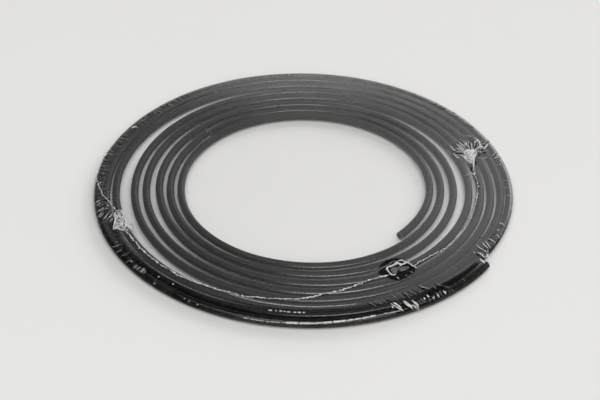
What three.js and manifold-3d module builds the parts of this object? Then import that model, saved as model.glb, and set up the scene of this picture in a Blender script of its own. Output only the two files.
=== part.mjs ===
// A flat coil of porous soaker hose, cut in two lengths, in a drum-tight bag of clear shrink film.
// Millimetres, +Z up. Directions are in degrees round from +X, the coil's right, towards +Y, its back.
import * as THREE from "three";
import { ConvexGeometry } from "three/addons/geometries/ConvexGeometry.js";
import { mergeVertices } from "three/addons/utils/BufferGeometryUtils.js";
import Module from "manifold-3d";

// The hose.
const HOSE_DIAMETER = 7;
const BORE_DIAMETER = 4;
const LEAST_GAP = 0.4;

// Where its eight turns lie, from the inside out: the centre line's radius in these directions.
// The outer three hang to the left and leave a crescent of floor between the fifth and the sixth.
const DIRECTIONS = [0, 40, 95, 135, 188, 235, 280, 325];
const TURN_RADII = [
  [113.5, 115, 113, 112.5, 111.5, 112, 115.5, 119.5],
  [123.5, 124.5, 122, 122, 121.5, 123, 126.5, 131.5],
  [135, 136, 133, 133, 131.5, 133, 138.5, 144],
  [149, 149.5, 145.5, 144.5, 143, 145, 150, 154],
  [158.5, 158.5, 154.5, 154.5, 153.5, 155.5, 159, 163.5],
  [168.5, 168.5, 168, 169.5, 170, 168.5, 167.5, 171.5],
  [176.5, 178, 176.5, 177.5, 178.5, 176.5, 175.5, 179.5],
  [185.5, 187, 184.5, 185, 186.5, 185, 184.5, 187.5],
];
const LEAD_IN = [
  { angle: -80, radius: 105.5 },
  { angle: -35, radius: 109 },
];
const LEAD_OUT = { angle: 360 * TURN_RADII.length, radius: 188.5 };

// Angles along the whole coil, counted from where its first turn crosses +X.
const INNER_END = -40;
const CUT = 360 + 139.5;
const OUTER_END = 360 * (TURN_RADII.length - 1) + 326;

// The film, and the clearance between pieces that touch.
const FILM = 0.3;
const GAP = 0.3;
const HOSE_MIDDLE = FILM + GAP + HOSE_DIAMETER / 2;
const FILM_TOP = HOSE_MIDDLE + HOSE_DIAMETER / 2 + GAP + FILM;
const TRIM_BASE = FILM_TOP + GAP;

// The vent that the film shrank open on the front of the coil.
const VENT = { x: 79.5, y: -119, length: 31, width: 24, turn: 12, point: 1.25 };
const RIM = { height: 1.3, width: 1.4, waves: 9, wave: 0.7, clear: 1.2 };

// The weld, a thin raised bead that runs over the top of the coil, as [direction, radius].
const SEAM = { height: 0.9, width: 1.1 };
const SEAM_LEFT = [
  [183.6, 187.1], [188.8, 180.5], [193.4, 174.4],
];
const SEAM_FRONT = [
  [209.6, 171.3], [220.3, 169.4], [232.9, 168.7], [242.9, 167], [252, 164.6], [263.8, 161.2],
  [275.3, 156.1], [282.6, 152.3], [290, 146.8], [296, 145.4],
];
const SEAM_RIGHT = [
  [312.2, 147.6], [319.4, 148.7], [327.6, 152.1], [339.3, 154.4], [355, 155.7], [365.6, 156.5],
  [371.5, 158.5],
];

// The two corners of the bag, where the film is gathered into pleats.
const LEFT_GATHER = { x: -159.5, y: -62.5, length: 32, width: 17, turn: 117, pleats: 7, rise: 1.4 };
const RIGHT_GATHER = { x: 152, y: 58, length: 44, width: 32, turn: 18, pleats: 11, rise: 1.8 };
const GATHER_EDGE = 0.5;

// How finely the round forms are cut.
const STEPS_PER_TURN = 24;
const HOSE_SIDES = 6;
const FILM_STEPS_PER_TURN = 72;
const FILM_STEPS_OVER_EDGE = 6;
const RIM_STEPS = 36;
const PATCH_STEPS = 44;
const PATCH_RINGS = 4;

const { cos, sin, PI } = Math;
const radians = THREE.MathUtils.degToRad;

const wasm = await Module();
wasm.setup();

// ---- The coil's centre line ----

const knots = [
  ...LEAD_IN,
  ...TURN_RADII.flatMap((row, turn) =>
    row.map((radius, i) => ({ angle: 360 * turn + DIRECTIONS[i], radius })),
  ),
  LEAD_OUT,
];

// The radius at an angle along the coil: a smooth curve through the knots.
function radiusAt(angle) {
  let i = 1;
  while (i < knots.length - 3 && angle > knots[i + 1].angle) i += 1;
  const [before, start, end, after] = [knots[i - 1], knots[i], knots[i + 1], knots[i + 2]];
  const span = end.angle - start.angle;
  const u = (angle - start.angle) / span;
  const slopeIn = ((end.radius - before.radius) / (end.angle - before.angle)) * span;
  const slopeOut = ((after.radius - start.radius) / (after.angle - start.angle)) * span;
  const eased = u * u * (3 - 2 * u);
  return (
    start.radius * (1 - eased) +
    end.radius * eased +
    slopeIn * u * (1 - u) * (1 - u) -
    slopeOut * u * u * (1 - u)
  );
}

function polar(direction, radius, z) {
  return new THREE.Vector3(
    radius * cos(radians(direction)),
    radius * sin(radians(direction)),
    z,
  );
}

function coilPoint(angle) {
  return polar(angle, radiusAt(angle), HOSE_MIDDLE);
}

function coilDirection(angle) {
  const step = 0.5;
  return coilPoint(angle + step).sub(coilPoint(angle - step)).normalize();
}

// Ring centres from one angle to another. Each end runs straight for one diameter, square to its cut.
function hoseRoute(from, to) {
  const ringAngle = 360 / STEPS_PER_TURN;
  const clear = ringAngle / 3;
  const straight = (angle, along) =>
    coilPoint(angle).addScaledVector(coilDirection(angle), along);
  const points = [straight(from, 0), straight(from, HOSE_DIAMETER)];
  const first = Math.ceil((from + clear) / ringAngle) * ringAngle;
  for (let angle = first; angle < to - clear; angle += ringAngle) {
    points.push(coilPoint(angle));
  }
  points.push(straight(to, -HOSE_DIAMETER), straight(to, 0));
  return points;
}

// ---- Sweeps ----

// A section's corners as [sideways, up], on a circle or an ellipse, the first one at the top.
function roundSection(width, height, sides) {
  return Array.from({ length: sides }, (_, i) => {
    const a = (2 * PI * i) / sides;
    return [(width / 2) * sin(a), (height / 2) * cos(a)];
  });
}

// A level route swept with a section: closed on itself, or with flat ends. A bore runs right through.
function sweep(route, section, { closed = false, bore = null } = {}) {
  const count = route.length;
  const sides = section.length;
  const positions = [];
  const triangles = [];
  const at = (i) => route[closed ? (i + count) % count : Math.min(Math.max(i, 0), count - 1)];
  const ring = (i, corners) => {
    const along = at(i + 1).clone().sub(at(i - 1)).normalize();
    const left = new THREE.Vector3(-along.y, along.x, 0);
    for (const [sideways, up] of corners) {
      const p = route[i].clone().addScaledVector(left, sideways);
      positions.push(p.x, p.y, p.z + up);
    }
  };
  const quad = (a, b, c, d) => triangles.push(a, b, c, a, c, d);
  const wall = (base, outward) => {
    const rings = closed ? count : count - 1;
    for (let i = 0; i < rings; i += 1) {
      for (let j = 0; j < sides; j += 1) {
        const k = (j + 1) % sides;
        const here = base + i * sides;
        const next = base + ((i + 1) % count) * sides;
        if (outward) quad(here + k, here + j, next + j, next + k);
        else quad(here + j, here + k, next + k, next + j);
      }
    }
  };
  route.forEach((_, i) => ring(i, section));
  wall(0, true);
  if (bore) {
    route.forEach((_, i) => ring(i, bore));
    const inner = count * sides;
    wall(inner, false);
    for (let j = 0; j < sides; j += 1) {
      const k = (j + 1) % sides;
      const last = (count - 1) * sides;
      quad(j, k, inner + k, inner + j);
      quad(last + k, last + j, inner + last + j, inner + last + k);
    }
  } else if (!closed) {
    for (let j = 1; j < sides - 1; j += 1) {
      const last = (count - 1) * sides;
      triangles.push(0, j, j + 1);
      triangles.push(last, last + j + 1, last + j);
    }
  }
  return meshGeometry(positions, triangles);
}

function meshGeometry(positions, triangles) {
  const geometry = new THREE.BufferGeometry();
  geometry.setAttribute("position", new THREE.Float32BufferAttribute(positions, 3));
  geometry.setIndex(triangles);
  geometry.computeVertexNormals();
  return geometry;
}

// ---- Booleans ----

function toSolid(geometry) {
  const bare = geometry.clone();
  bare.deleteAttribute("normal");
  bare.deleteAttribute("uv");
  const merged = mergeVertices(bare, 1e-4);
  return new wasm.Manifold(
    new wasm.Mesh({
      numProp: 3,
      vertProperties: new Float32Array(merged.attributes.position.array),
      triVerts: new Uint32Array(merged.index.array),
    }),
  );
}

function toGeometry(solid) {
  const mesh = solid.getMesh();
  return meshGeometry(Array.from(mesh.vertProperties), Array.from(mesh.triVerts));
}

// ---- The pieces ----

function hoseLength(from, to, startGap, endGap) {
  const perMillimetre = (angle) => 180 / (PI * radiusAt(angle));
  const route = hoseRoute(from + startGap * perMillimetre(from), to - endGap * perMillimetre(to));
  return sweep(route, roundSection(HOSE_DIAMETER, HOSE_DIAMETER, HOSE_SIDES), {
    bore: roundSection(BORE_DIAMETER, BORE_DIAMETER, HOSE_SIDES),
  });
}

// The tight skin round the last turn: everything within `clear` of the hose, bridged where it steps.
function skin(clear) {
  const radius = HOSE_DIAMETER / 2 + clear;
  const step = 360 / FILM_STEPS_PER_TURN;
  const points = [];
  for (let angle = OUTER_END - 360; angle <= OUTER_END; angle += step) {
    const centre = coilPoint(angle);
    const outward = coilDirection(angle).cross(new THREE.Vector3(0, 0, 1));
    for (let i = 0; i <= FILM_STEPS_OVER_EDGE; i += 1) {
      const tilt = -PI / 2 + (PI * i) / FILM_STEPS_OVER_EDGE;
      const point = centre.clone().addScaledVector(outward, radius * cos(tilt));
      point.z += radius * sin(tilt);
      points.push(point);
    }
  }
  return new ConvexGeometry(points);
}

// The vent's outline: an ellipse drawn out to a point at each end, `grow` larger all round.
function ventOutline(steps, grow, wave) {
  return Array.from({ length: steps }, (_, i) => {
    const a = (2 * PI * i) / steps;
    const swell = 1 + (wave * cos(RIM.waves * a)) / VENT.width;
    const x = (VENT.length / 2 + grow) * cos(a) * swell;
    const y = (VENT.width / 2 + grow) * Math.sign(sin(a)) * Math.abs(sin(a)) ** VENT.point * swell;
    return new THREE.Vector2(x, y).rotateAround(new THREE.Vector2(), radians(VENT.turn));
  });
}

function filmBag() {
  const depth = 3 * FILM;
  const prism = new THREE.ExtrudeGeometry(new THREE.Shape(ventOutline(RIM_STEPS, 0, 0)), {
    depth,
    bevelEnabled: false,
  });
  prism.translate(VENT.x, VENT.y, FILM_TOP - FILM / 2 - depth / 2);
  const bag = toSolid(skin(GAP + FILM))
    .subtract(toSolid(skin(GAP)))
    .subtract(toSolid(prism));
  return toGeometry(bag);
}

function ventHoleRim() {
  const route = ventOutline(RIM_STEPS, RIM.clear, RIM.wave).map(
    (p) => new THREE.Vector3(p.x + VENT.x, p.y + VENT.y, TRIM_BASE + RIM.height / 2),
  );
  return sweep(route, roundSection(RIM.width, RIM.height, 6), { closed: true });
}

function filmSeam(stations) {
  const guide = new THREE.CatmullRomCurve3(
    stations.map(([direction, radius]) => polar(direction, radius, TRIM_BASE + SEAM.height / 2)),
    false,
    "centripetal",
  );
  return sweep(guide.getPoints(4 * stations.length), roundSection(SEAM.width, SEAM.height, 4));
}

// A patch of gathered film: flat below, with pleats above that fan out from its middle and fade at its rim.
function gather({ x, y, length, width, turn, pleats, rise }) {
  const positions = [0, 0, 0, 0, 0, GATHER_EDGE + rise / 2];
  const triangles = [];
  for (let r = 1; r <= PATCH_RINGS; r += 1) {
    const out = r / PATCH_RINGS;
    for (let i = 0; i < PATCH_STEPS; i += 1) {
      const a = (2 * PI * i) / PATCH_STEPS;
      const reach = out * (1 + 0.06 * cos(pleats * a));
      const pleat = rise * sin(PI * out) * (0.5 + 0.5 * cos(pleats * a));
      const px = (length / 2) * reach * cos(a);
      const py = (width / 2) * reach * sin(a);
      positions.push(px, py, 0, px, py, GATHER_EDGE + pleat + (rise / 2) * (1 - out));
    }
  }
  const below = (r, i) => (r === 0 ? 0 : 2 + 2 * ((r - 1) * PATCH_STEPS + (i % PATCH_STEPS)));
  const above = (r, i) => below(r, i) + 1;
  for (let i = 0; i < PATCH_STEPS; i += 1) {
    for (let r = 0; r < PATCH_RINGS; r += 1) {
      triangles.push(above(r, i), above(r + 1, i), above(r + 1, i + 1));
      triangles.push(below(r, i), below(r + 1, i + 1), below(r + 1, i));
      if (r > 0) {
        triangles.push(above(r, i), above(r + 1, i + 1), above(r, i + 1));
        triangles.push(below(r, i), below(r, i + 1), below(r + 1, i + 1));
      }
    }
    const [a, b] = [below(PATCH_RINGS, i), below(PATCH_RINGS, i + 1)];
    triangles.push(a, b, b + 1, a, b + 1, a + 1);
  }
  const geometry = meshGeometry(positions, triangles);
  geometry.rotateZ(radians(turn));
  geometry.translate(x, y, TRIM_BASE);
  return geometry;
}

// The least gap between any two turns, measured between ring centres on the same direction.
function leastGap() {
  let least = Infinity;
  for (let angle = INNER_END; angle <= OUTER_END - 360; angle += 1) {
    const apart = coilPoint(angle).distanceTo(coilPoint(angle + 360));
    least = Math.min(least, apart - HOSE_DIAMETER);
  }
  return least;
}

function coilLength(from, to) {
  let sum = 0;
  for (let angle = from; angle < to; angle += 0.5) {
    sum += coilPoint(angle).distanceTo(coilPoint(Math.min(angle + 0.5, to)));
  }
  return sum;
}

const gap = leastGap();
if (gap < LEAST_GAP) throw new Error(`two turns are only ${gap.toFixed(2)} mm apart`);
console.log(`least gap between turns ${gap.toFixed(2)} mm`);
console.log(`inner length ${(coilLength(INNER_END, CUT) / 1000).toFixed(3)} m`);
console.log(`outer length ${(coilLength(CUT, OUTER_END) / 1000).toFixed(3)} m`);

// ---- The assembly ----

const rubber = new THREE.MeshStandardMaterial({ color: "#1c1c1d", roughness: 0.72, metalness: 0 });
const film = new THREE.MeshStandardMaterial({
  color: "#e9edee",
  roughness: 0.12,
  metalness: 0,
  transparent: true,
  opacity: 0.25,
});
const crumpledFilm = new THREE.MeshStandardMaterial({
  color: "#d9dcdd",
  roughness: 0.35,
  metalness: 0,
});

function piece(name, geometry, material) {
  const mesh = new THREE.Mesh(geometry, material);
  mesh.name = name;
  return mesh;
}

const hose = new THREE.Group();
hose.add(
  piece("hose_inner_length", hoseLength(INNER_END, CUT, 0, GAP / 2), rubber),
  piece("hose_outer_length", hoseLength(CUT, OUTER_END, GAP / 2, 0), rubber),
);

const wrap = new THREE.Group();
wrap.add(
  piece("film_bag", filmBag(), film),
  piece("film_seam_left", filmSeam(SEAM_LEFT), crumpledFilm),
  piece("film_seam_front", filmSeam(SEAM_FRONT), crumpledFilm),
  piece("film_seam_right", filmSeam(SEAM_RIGHT), crumpledFilm),
  piece("vent_hole_rim", ventHoleRim(), crumpledFilm),
  piece("left_corner_gather", gather(LEFT_GATHER), crumpledFilm),
  piece("right_corner_gather", gather(RIGHT_GATHER), crumpledFilm),
);

// The whole coil is set over the origin, standing on the floor.
const soakerHose = new THREE.Group();
soakerHose.add(hose, wrap);
const box = new THREE.Box3().setFromObject(soakerHose);
const middle = box.getCenter(new THREE.Vector3());
hose.position.set(-middle.x, -middle.y, -box.min.z);
wrap.position.copy(hose.position);

export default soakerHose;
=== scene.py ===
"""A shrink-wrapped coil of thin soaker hose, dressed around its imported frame.

Lengths are in millimetres, as in the part's source, and become metres where a mesh is made.
Directions are in degrees round from +X towards +Y, seen from above. Pixels are those of the
photograph's 600 x 400 frame, and each is set down on the point of the film that it shows.
"""

import math
import random

import bpy
import numpy as np
from mathutils import Matrix, Vector, noise


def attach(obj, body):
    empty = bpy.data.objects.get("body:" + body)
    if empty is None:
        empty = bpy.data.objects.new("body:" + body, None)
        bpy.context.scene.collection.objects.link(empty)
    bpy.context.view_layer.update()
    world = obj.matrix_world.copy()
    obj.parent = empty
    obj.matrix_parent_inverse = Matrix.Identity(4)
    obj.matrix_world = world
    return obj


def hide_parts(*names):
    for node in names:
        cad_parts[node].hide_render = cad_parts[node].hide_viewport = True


MM = 0.001

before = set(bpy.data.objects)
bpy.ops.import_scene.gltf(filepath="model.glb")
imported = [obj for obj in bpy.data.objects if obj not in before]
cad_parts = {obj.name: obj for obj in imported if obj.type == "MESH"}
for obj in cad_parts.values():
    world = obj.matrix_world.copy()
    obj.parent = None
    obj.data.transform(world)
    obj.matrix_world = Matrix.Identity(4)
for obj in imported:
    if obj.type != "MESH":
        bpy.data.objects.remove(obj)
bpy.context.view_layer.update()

# ---- The coil's route, repeated from the part's source ----

HOSE_DIAMETER = 7.0
HOSE_RADIUS = HOSE_DIAMETER / 2
BORE_RADIUS = 2.0
DIRECTIONS = (0, 40, 95, 135, 188, 235, 280, 325)
TURN_RADII = (
    (113.5, 115, 113, 112.5, 111.5, 112, 115.5, 119.5),
    (123.5, 124.5, 122, 122, 121.5, 123, 126.5, 131.5),
    (135, 136, 133, 133, 131.5, 133, 138.5, 144),
    (149, 149.5, 145.5, 144.5, 143, 145, 150, 154),
    (158.5, 158.5, 154.5, 154.5, 153.5, 155.5, 159, 163.5),
    (168.5, 168.5, 168, 169.5, 170, 168.5, 167.5, 171.5),
    (176.5, 178, 176.5, 177.5, 178.5, 176.5, 175.5, 179.5),
    (185.5, 187, 184.5, 185, 186.5, 185, 184.5, 187.5),
)
LAST_TURN = len(TURN_RADII) - 1
LEAD_IN = ((-80, 105.5), (-35, 109))
LEAD_OUT = (360 * len(TURN_RADII), 188.5)
INNER_END = -40.0
CUT = 360 + 139.5
OUTER_END = 360.0 * LAST_TURN + 326

HOSE_MIDDLE = 4.1  # the centre line's height in the part
BAG_CLEAR = 0.6  # from the hose to the outside of the part's film
BAG_STEP = 5.0  # the angle between the part's film sections

# The coil isn't quite flat: at its front the inner seven turns ride a little high and the outer one low.
RISE = 1.1
SINK = 0.45
RISE_MIDDLE = 262
RISE_HALF_WIDTH = 74
SINK_HALF_WIDTH = 112
SINK_STEEPNESS = 2.2
RAISED_TURNS = 7

# How glossy the skin is, and how glossy each turn is at the back and at the front.
SHEEN = 0.35
BACK_SHEEN = {"middle": 93, "half_width": 52, "sheen": (0.2, 0.2, 0.25, 0.35, 0.5, 0.8, 1.0, 1.1)}
FRONT_SHEEN = {"middle": 281, "half_width": 24, "sheen": (0.4, 0.4, 0.4, 0.4, 0.45, 0.5, 0.35, 0.0)}
DULL_TURN = 0.4  # the eighth turn's share of the skin's gloss, away from the back

# Where a turn lies a little out of its place in the part: the turn, the direction there, the angle
# over which it does, and how far out.
LEANS = (
    (0, 225, 50, 1.0),
    (2, 205, 30, -0.6),
    (3, 245, 55, -0.9),
    (4, 232, 40, -0.4),
    (4, -8, 40, 1.0),
    (6, 3, 45, 1.0),
    (6, 206, 30, 0.6),
)
STEEPNESS = 1.4  # how soon a lean or a change of gloss comes in

# At the cut in the second turn the two ends have slipped past each other a little.
SLIP_IN = 0.6
SLIP_OUT = 1.1
SLIP_SPAN = 14.0
CUT_OPEN = 2.6

KNOTS = (
    *LEAD_IN,
    *(
        (360 * turn + direction, radius)
        for turn, row in enumerate(TURN_RADII)
        for direction, radius in zip(DIRECTIONS, row)
    ),
    LEAD_OUT,
)
KNOT_ANGLES, KNOT_RADII = np.array(KNOTS, float).T


def smooth(x):
    """0 below 0, 1 above 1, and an even ease between."""
    x = np.clip(x, 0, 1)
    return x * x * (3 - 2 * x)


def hill(away, half_width, steepness=1.0):
    """1 in the middle of a stretch and 0 past its half width. A steep one is flat on top."""
    return smooth(steepness * (1 - away / half_width))


def turned(angle, direction):
    """How far an angle is turned from a direction, from -180 to 180."""
    return (angle - direction + 180) % 360 - 180


def radius_at(angle):
    """The centre line's radius at each angle along the coil: a smooth curve through the knots."""
    i = np.clip(np.searchsorted(KNOT_ANGLES, angle) - 1, 1, len(KNOTS) - 3)
    a, r = KNOT_ANGLES, KNOT_RADII
    span = a[i + 1] - a[i]
    u = (angle - a[i]) / span
    slope_in = (r[i + 1] - r[i - 1]) / (a[i + 1] - a[i - 1]) * span
    slope_out = (r[i + 2] - r[i]) / (a[i + 2] - a[i]) * span
    eased = u * u * (3 - 2 * u)
    radius = r[i] * (1 - eased) + r[i + 1] * eased
    radius = radius + slope_in * u * (1 - u) ** 2 - slope_out * u * u * (1 - u)
    for turn, direction, half_width, out in LEANS:
        radius = radius + out * hill(np.abs(angle - 360 * turn - direction), half_width, STEEPNESS)
    return radius


def lift_at(angle):
    """How far the centre line stands above its place in the part, at each angle along the coil."""
    away = np.abs(turned(angle, RISE_MIDDLE))
    rise = RISE * hill(away, RISE_HALF_WIDTH)
    sink = SINK * hill(away, SINK_HALF_WIDTH, SINK_STEEPNESS)
    return np.where(angle < 360 * RAISED_TURNS, rise, -sink)


def sheen_at(angle):
    """How glossy the hose's skin is at each angle along the coil."""
    turn = np.clip(angle // 360, 0, LAST_TURN).astype(int)
    sheen = np.where(turn == LAST_TURN, DULL_TURN * SHEEN, SHEEN)
    for stretch in (BACK_SHEEN, FRONT_SHEEN):
        share = hill(np.abs(turned(angle, stretch["middle"])), stretch["half_width"], STEEPNESS)
        sheen = sheen + (np.array(stretch["sheen"])[turn] - sheen) * share
    return sheen


def slip_at(angle):
    """How far the centre line has slipped outwards near the cut."""
    share = hill(np.abs(angle - CUT), SLIP_SPAN)
    return np.where(angle < CUT, -SLIP_IN * share, SLIP_OUT * share)


def compass(directions):
    """Unit plan vectors in directions."""
    a = np.radians(directions)
    return np.stack([np.cos(a), np.sin(a)], 1)


def unit(vectors):
    return vectors / np.linalg.norm(vectors, axis=1)[:, None]


def plan_points(angles, slip=0.0):
    return compass(angles) * (radius_at(angles) + slip)[:, None]


def centre_shift():
    """What moves the coil so that its film's box is centred on the origin, as the part's source does."""
    angles = np.arange(OUTER_END - 360, OUTER_END + 0.1, BAG_STEP)
    along = unit(plan_points(angles + 0.5) - plan_points(angles - 0.5))
    outward = np.stack([along[:, 1], -along[:, 0]], 1)
    points = plan_points(angles) + outward * (HOSE_RADIUS + BAG_CLEAR)
    return -(points.min(axis=0) + points.max(axis=0)) / 2


SHIFT = centre_shift()


def polar(direction, radius, z=0.0):
    """A point in the part's frame."""
    a = math.radians(direction)
    return np.array([radius * math.cos(a) + SHIFT[0], radius * math.sin(a) + SHIFT[1], z])


# ---- Camera ----

CAMERA_TILT = 0.6524  # radians below the horizon
CAMERA_ROLL = 0.0230
CAMERA_DISTANCE = 1243.8
CAMERA_TARGET = (-3.8, -16.9, 0.6)
LENS = 82.9
SENSOR = 36.0
FRAME_WIDTH, FRAME_HEIGHT = 600, 400


def add_object(name, data):
    thing = bpy.data.objects.new(name, data)
    bpy.context.scene.collection.objects.link(thing)
    return thing


def make_camera():
    ahead = Vector((0, math.cos(CAMERA_TILT), -math.sin(CAMERA_TILT)))
    up = Vector((0, math.sin(CAMERA_TILT), math.cos(CAMERA_TILT)))
    right = Vector((1, 0, 0))
    c, s = math.cos(CAMERA_ROLL), math.sin(CAMERA_ROLL)
    side, top = c * right + s * up, -s * right + c * up
    target = Vector(CAMERA_TARGET) + Vector((SHIFT[0], SHIFT[1], 0))
    data = bpy.data.cameras.new("camera")
    data.sensor_fit = "HORIZONTAL"
    data.sensor_width = SENSOR
    data.lens = LENS
    camera = add_object("camera", data)
    turn = Matrix((side, top, -ahead)).transposed()
    camera.matrix_world = Matrix.Translation((target - ahead * CAMERA_DISTANCE) * MM) @ turn.to_4x4()
    bpy.context.scene.camera = camera


make_camera()

# ---- Meshes ----


def make_piece(name, points, faces, material):
    mesh = bpy.data.meshes.new(name)
    mesh.from_pydata((np.asarray(points) * MM).tolist(), [], [list(map(int, f)) for f in faces])
    mesh.update()
    mesh.polygons.foreach_set("use_smooth", [True] * len(mesh.polygons))
    mesh.materials.append(material)
    return add_object(name, mesh)


def dress(piece, node):
    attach(piece, "root")
    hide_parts(node)


def set_values(piece, name, values):
    """Stores a number at each point of a piece, for its material."""
    attribute = piece.data.attributes.new(name, "FLOAT", "POINT")
    attribute.data.foreach_set("value", np.asarray(values, np.float32))


def ring_faces(rings, sides, start=0, flip=False):
    """Quads between rings of points that are stored one after another."""
    faces = []
    for i in range(rings - 1):
        for j in range(sides):
            a = start + i * sides + j
            b = start + i * sides + (j + 1) % sides
            quad = (a, b, b + sides, a + sides)
            faces.append(quad[::-1] if flip else quad)
    return faces


def sweep(route, sections):
    """Rings of points round a route: sections holds each ring's corners as (sideways, up)."""
    route = np.asarray(route, float)
    along = np.empty_like(route)
    along[1:-1] = route[2:] - route[:-2]
    along[0] = route[1] - route[0]
    along[-1] = route[-1] - route[-2]
    along = unit(along)
    side = unit(np.stack([along[:, 1], -along[:, 0], np.zeros(len(route))], 1))
    up = np.cross(side, along)
    rings = route[:, None] + side[:, None] * sections[:, :, :1] + up[:, None] * sections[:, :, 1:]
    return rings.reshape(-1, 3)


def circle(sides):
    a = 2 * np.pi * np.arange(sides) / sides
    return np.stack([np.cos(a), np.sin(a)], 1)


def closed_tube(route, sections):
    """A swept tube's points and faces, with its ends closed."""
    sides = len(sections[0])
    ends = [range(sides)[::-1], range(sides * (len(route) - 1), sides * len(route))]
    return sweep(route, np.array(sections)), ring_faces(len(route), sides) + ends


def shrinking_rings(outline, shares):
    """The points of a closed plan outline as it shrinks to its middle, each after its ring's share."""
    middle = outline.mean(0)
    for share in shares:
        for x, y in middle + (outline - middle) * share:
            yield share, x, y


def dish_faces(rings, sides, start=0):
    """Faces over rings that shrink to one point, which comes after the last."""
    last = start + (rings - 1) * sides
    tip = [(last + (j + 1) % sides, last + j, last + sides) for j in range(sides)]
    return ring_faces(rings, sides, start, flip=True) + tip


def heading(line, i):
    """Which way a plan line runs at one of its points."""
    run = line[min(i + 1, len(line) - 1)] - line[max(i - 1, 0)]
    return run / (np.linalg.norm(run) + 1e-9)


def waver(x, y, z):
    """Smooth noise, about -1 to 1."""
    return noise.noise(Vector((x, y, z)))


# ---- Materials ----


class Nodes:
    """Builds a node tree. A socket takes a number, a colour or another node's output."""

    def __init__(self, tree):
        self.tree = tree
        tree.nodes.clear()

    def add(self, kind, sockets=None, **values):
        node = self.tree.nodes.new(kind)
        for key, value in values.items():
            setattr(node, key, value)
        for socket, value in (sockets or {}).items():
            if isinstance(value, bpy.types.NodeSocket):
                self.tree.links.new(value, node.inputs[socket])
            else:
                node.inputs[socket].default_value = value
        return node

    def place(self):
        return self.add("ShaderNodeTexCoord").outputs["Object"]

    def attribute(self, name):
        return self.add("ShaderNodeAttribute", attribute_name=name).outputs["Fac"]

    def noise(self, vector, scale, detail=3.0, roughness=0.55):
        sockets = {"Vector": vector, "Scale": scale, "Detail": detail, "Roughness": roughness}
        return self.add("ShaderNodeTexNoise", sockets).outputs["Fac"]

    def ramp(self, value, stops):
        """A colour ramp. Each stop is a position with a grey or a colour."""
        node = self.add("ShaderNodeValToRGB", {"Fac": value})
        elements = node.color_ramp.elements
        while len(elements) < len(stops):
            elements.new(0.5)
        for element, (position, colour) in zip(elements, stops):
            element.position = position
            element.color = (*colour, 1) if isinstance(colour, tuple) else (colour, colour, colour, 1)
        return node.outputs["Color"]

    def range(self, value, low, high, to_low, to_high):
        sockets = {"Value": value, "From Min": low, "From Max": high, "To Min": to_low, "To Max": to_high}
        return self.add("ShaderNodeMapRange", sockets).outputs["Result"]

    def maths(self, operation, a, b):
        return self.add("ShaderNodeMath", {0: a, 1: b}, operation=operation).outputs["Value"]

    def times(self, a, b):
        return self.maths("MULTIPLY", a, b)

    def vectors(self, operation, a, b=(0, 0, 0)):
        return self.add("ShaderNodeVectorMath", {0: a, 1: b}, operation=operation).outputs

    def bump(self, height, distance, strength):
        sockets = {"Height": height, "Distance": distance, "Strength": strength}
        return self.add("ShaderNodeBump", sockets).outputs["Normal"]

    def over_clear(self, share, shader):
        """A shader over a clear one, by its share."""
        clear = self.add("ShaderNodeBsdfTransparent")
        return self.add("ShaderNodeMixShader", {0: share, 1: clear.outputs[0], 2: shader.outputs[0]})

    def show(self, shader, kind="ShaderNodeOutputMaterial"):
        self.add(kind, {"Surface": shader.outputs[0]})


def new_material(name):
    material = bpy.data.materials.new(name)
    material.use_nodes = True
    return material, Nodes(material.node_tree)


def hose_rubber():
    """Black crumb rubber: a matt, open-pored skin with paler crumbs and a faint sheen."""
    material, n = new_material("hose_rubber")
    place = n.place()
    grain = n.noise(place, 600, 5, 0.7)
    patches = n.noise(place, 60)
    mixed = n.maths("ADD", n.times(grain, 0.75), n.times(patches, 0.25))
    skin = n.ramp(mixed, ((0.4, 0.002), (0.5, 0.006), (0.62, 0.024)))
    # the pale ring at each cut end: partly the cut face's own paler tone, partly a painted highlight on
    # its edge
    rim = n.times(n.attribute("cut_rim_highlight"), 0.6)
    colour = n.add("ShaderNodeMix", {"Factor": rim, "A": skin, "B": (0.3, 0.3, 0.3, 1)}, data_type="RGBA")
    pores = n.add("ShaderNodeTexVoronoi", {"Vector": place, "Scale": 1100}).outputs["Distance"]
    height = n.maths("ADD", grain, n.times(pores, 0.6))
    sockets = {
        "Base Color": colour.outputs["Result"],
        "Roughness": n.range(grain, 0.3, 0.7, 0.2, 0.3),
        "Specular IOR Level": n.times(n.attribute("sheen"), 0.4),
        "Normal": n.bump(height, 0.00006, 0.7),
    }
    n.show(n.add("ShaderNodeBsdfPrincipled", sockets))
    return material


def clear_film():
    """Shrink film: it mirrors by its angle, on both its faces, and lets the rest through."""
    material, n = new_material("clear_film")
    place = n.place()
    ripples = n.times(n.noise(place, 260, 2), 0.12)
    normal = n.bump(n.maths("ADD", n.noise(place, 45, 2), ripples), 0.0004, 0.12)
    gloss = n.add("ShaderNodeBsdfGlossy", {"Color": (1, 1, 1, 1), "Roughness": 0.05, "Normal": normal})
    # the index is turned over on the back, so that the sheet mirrors alike from both sides
    back = n.add("ShaderNodeNewGeometry").outputs["Backfacing"]
    index = n.range(back, 0, 1, 1.5, 1 / 1.5)
    one_face = n.add("ShaderNodeFresnel", {"IOR": index, "Normal": normal}).outputs["Fac"]
    both_faces = n.maths("DIVIDE", n.times(one_face, 2), n.maths("ADD", one_face, 1))
    mirrored = n.maths("MINIMUM", n.times(both_faces, 0.86), 0.3)
    # it mirrors less where it clings to the hose, and casts no shadow
    mirrored = n.times(mirrored, n.maths("SUBTRACT", 1.0, n.attribute("cling")))
    lit = n.maths("SUBTRACT", 1.0, n.add("ShaderNodeLightPath").outputs["Is Shadow Ray"])
    n.show(n.over_clear(n.times(mirrored, lit), gloss))
    return material


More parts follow.
